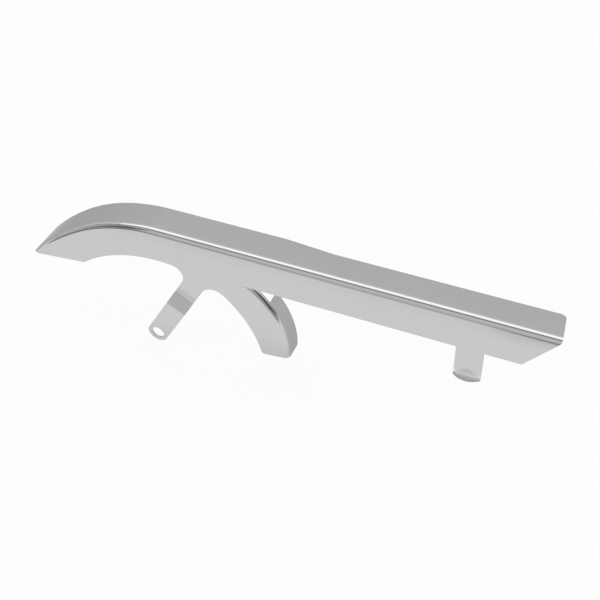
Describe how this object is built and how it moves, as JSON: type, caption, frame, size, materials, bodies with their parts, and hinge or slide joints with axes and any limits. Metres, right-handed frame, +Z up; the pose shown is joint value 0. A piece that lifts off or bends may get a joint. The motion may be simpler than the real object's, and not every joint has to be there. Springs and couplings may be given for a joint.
{
  "type": "motorcycle belt guard",
  "caption": "Upper guard for a motorcycle's drive belt: a chromed sheet with a folded top, a humped pointed nose, a joggled bolt strap, a curved leg and a rear tab",
  "frame": {"origin": "centre of the front bolt hole, in the middle of the sheet's thickness", "axes": "+X runs back along the straight top, +Y goes inboard over the belt along the bolt hole's axis, +Z is up"},
  "size_m": [0.4981, 0.0445, 0.128],
  "materials": {
    "chrome": "bright decorative chrome plate, polished"
  },
  "bodies": {
    "root": {"belt_guard": "chrome"}
  },
  "joints": []
}
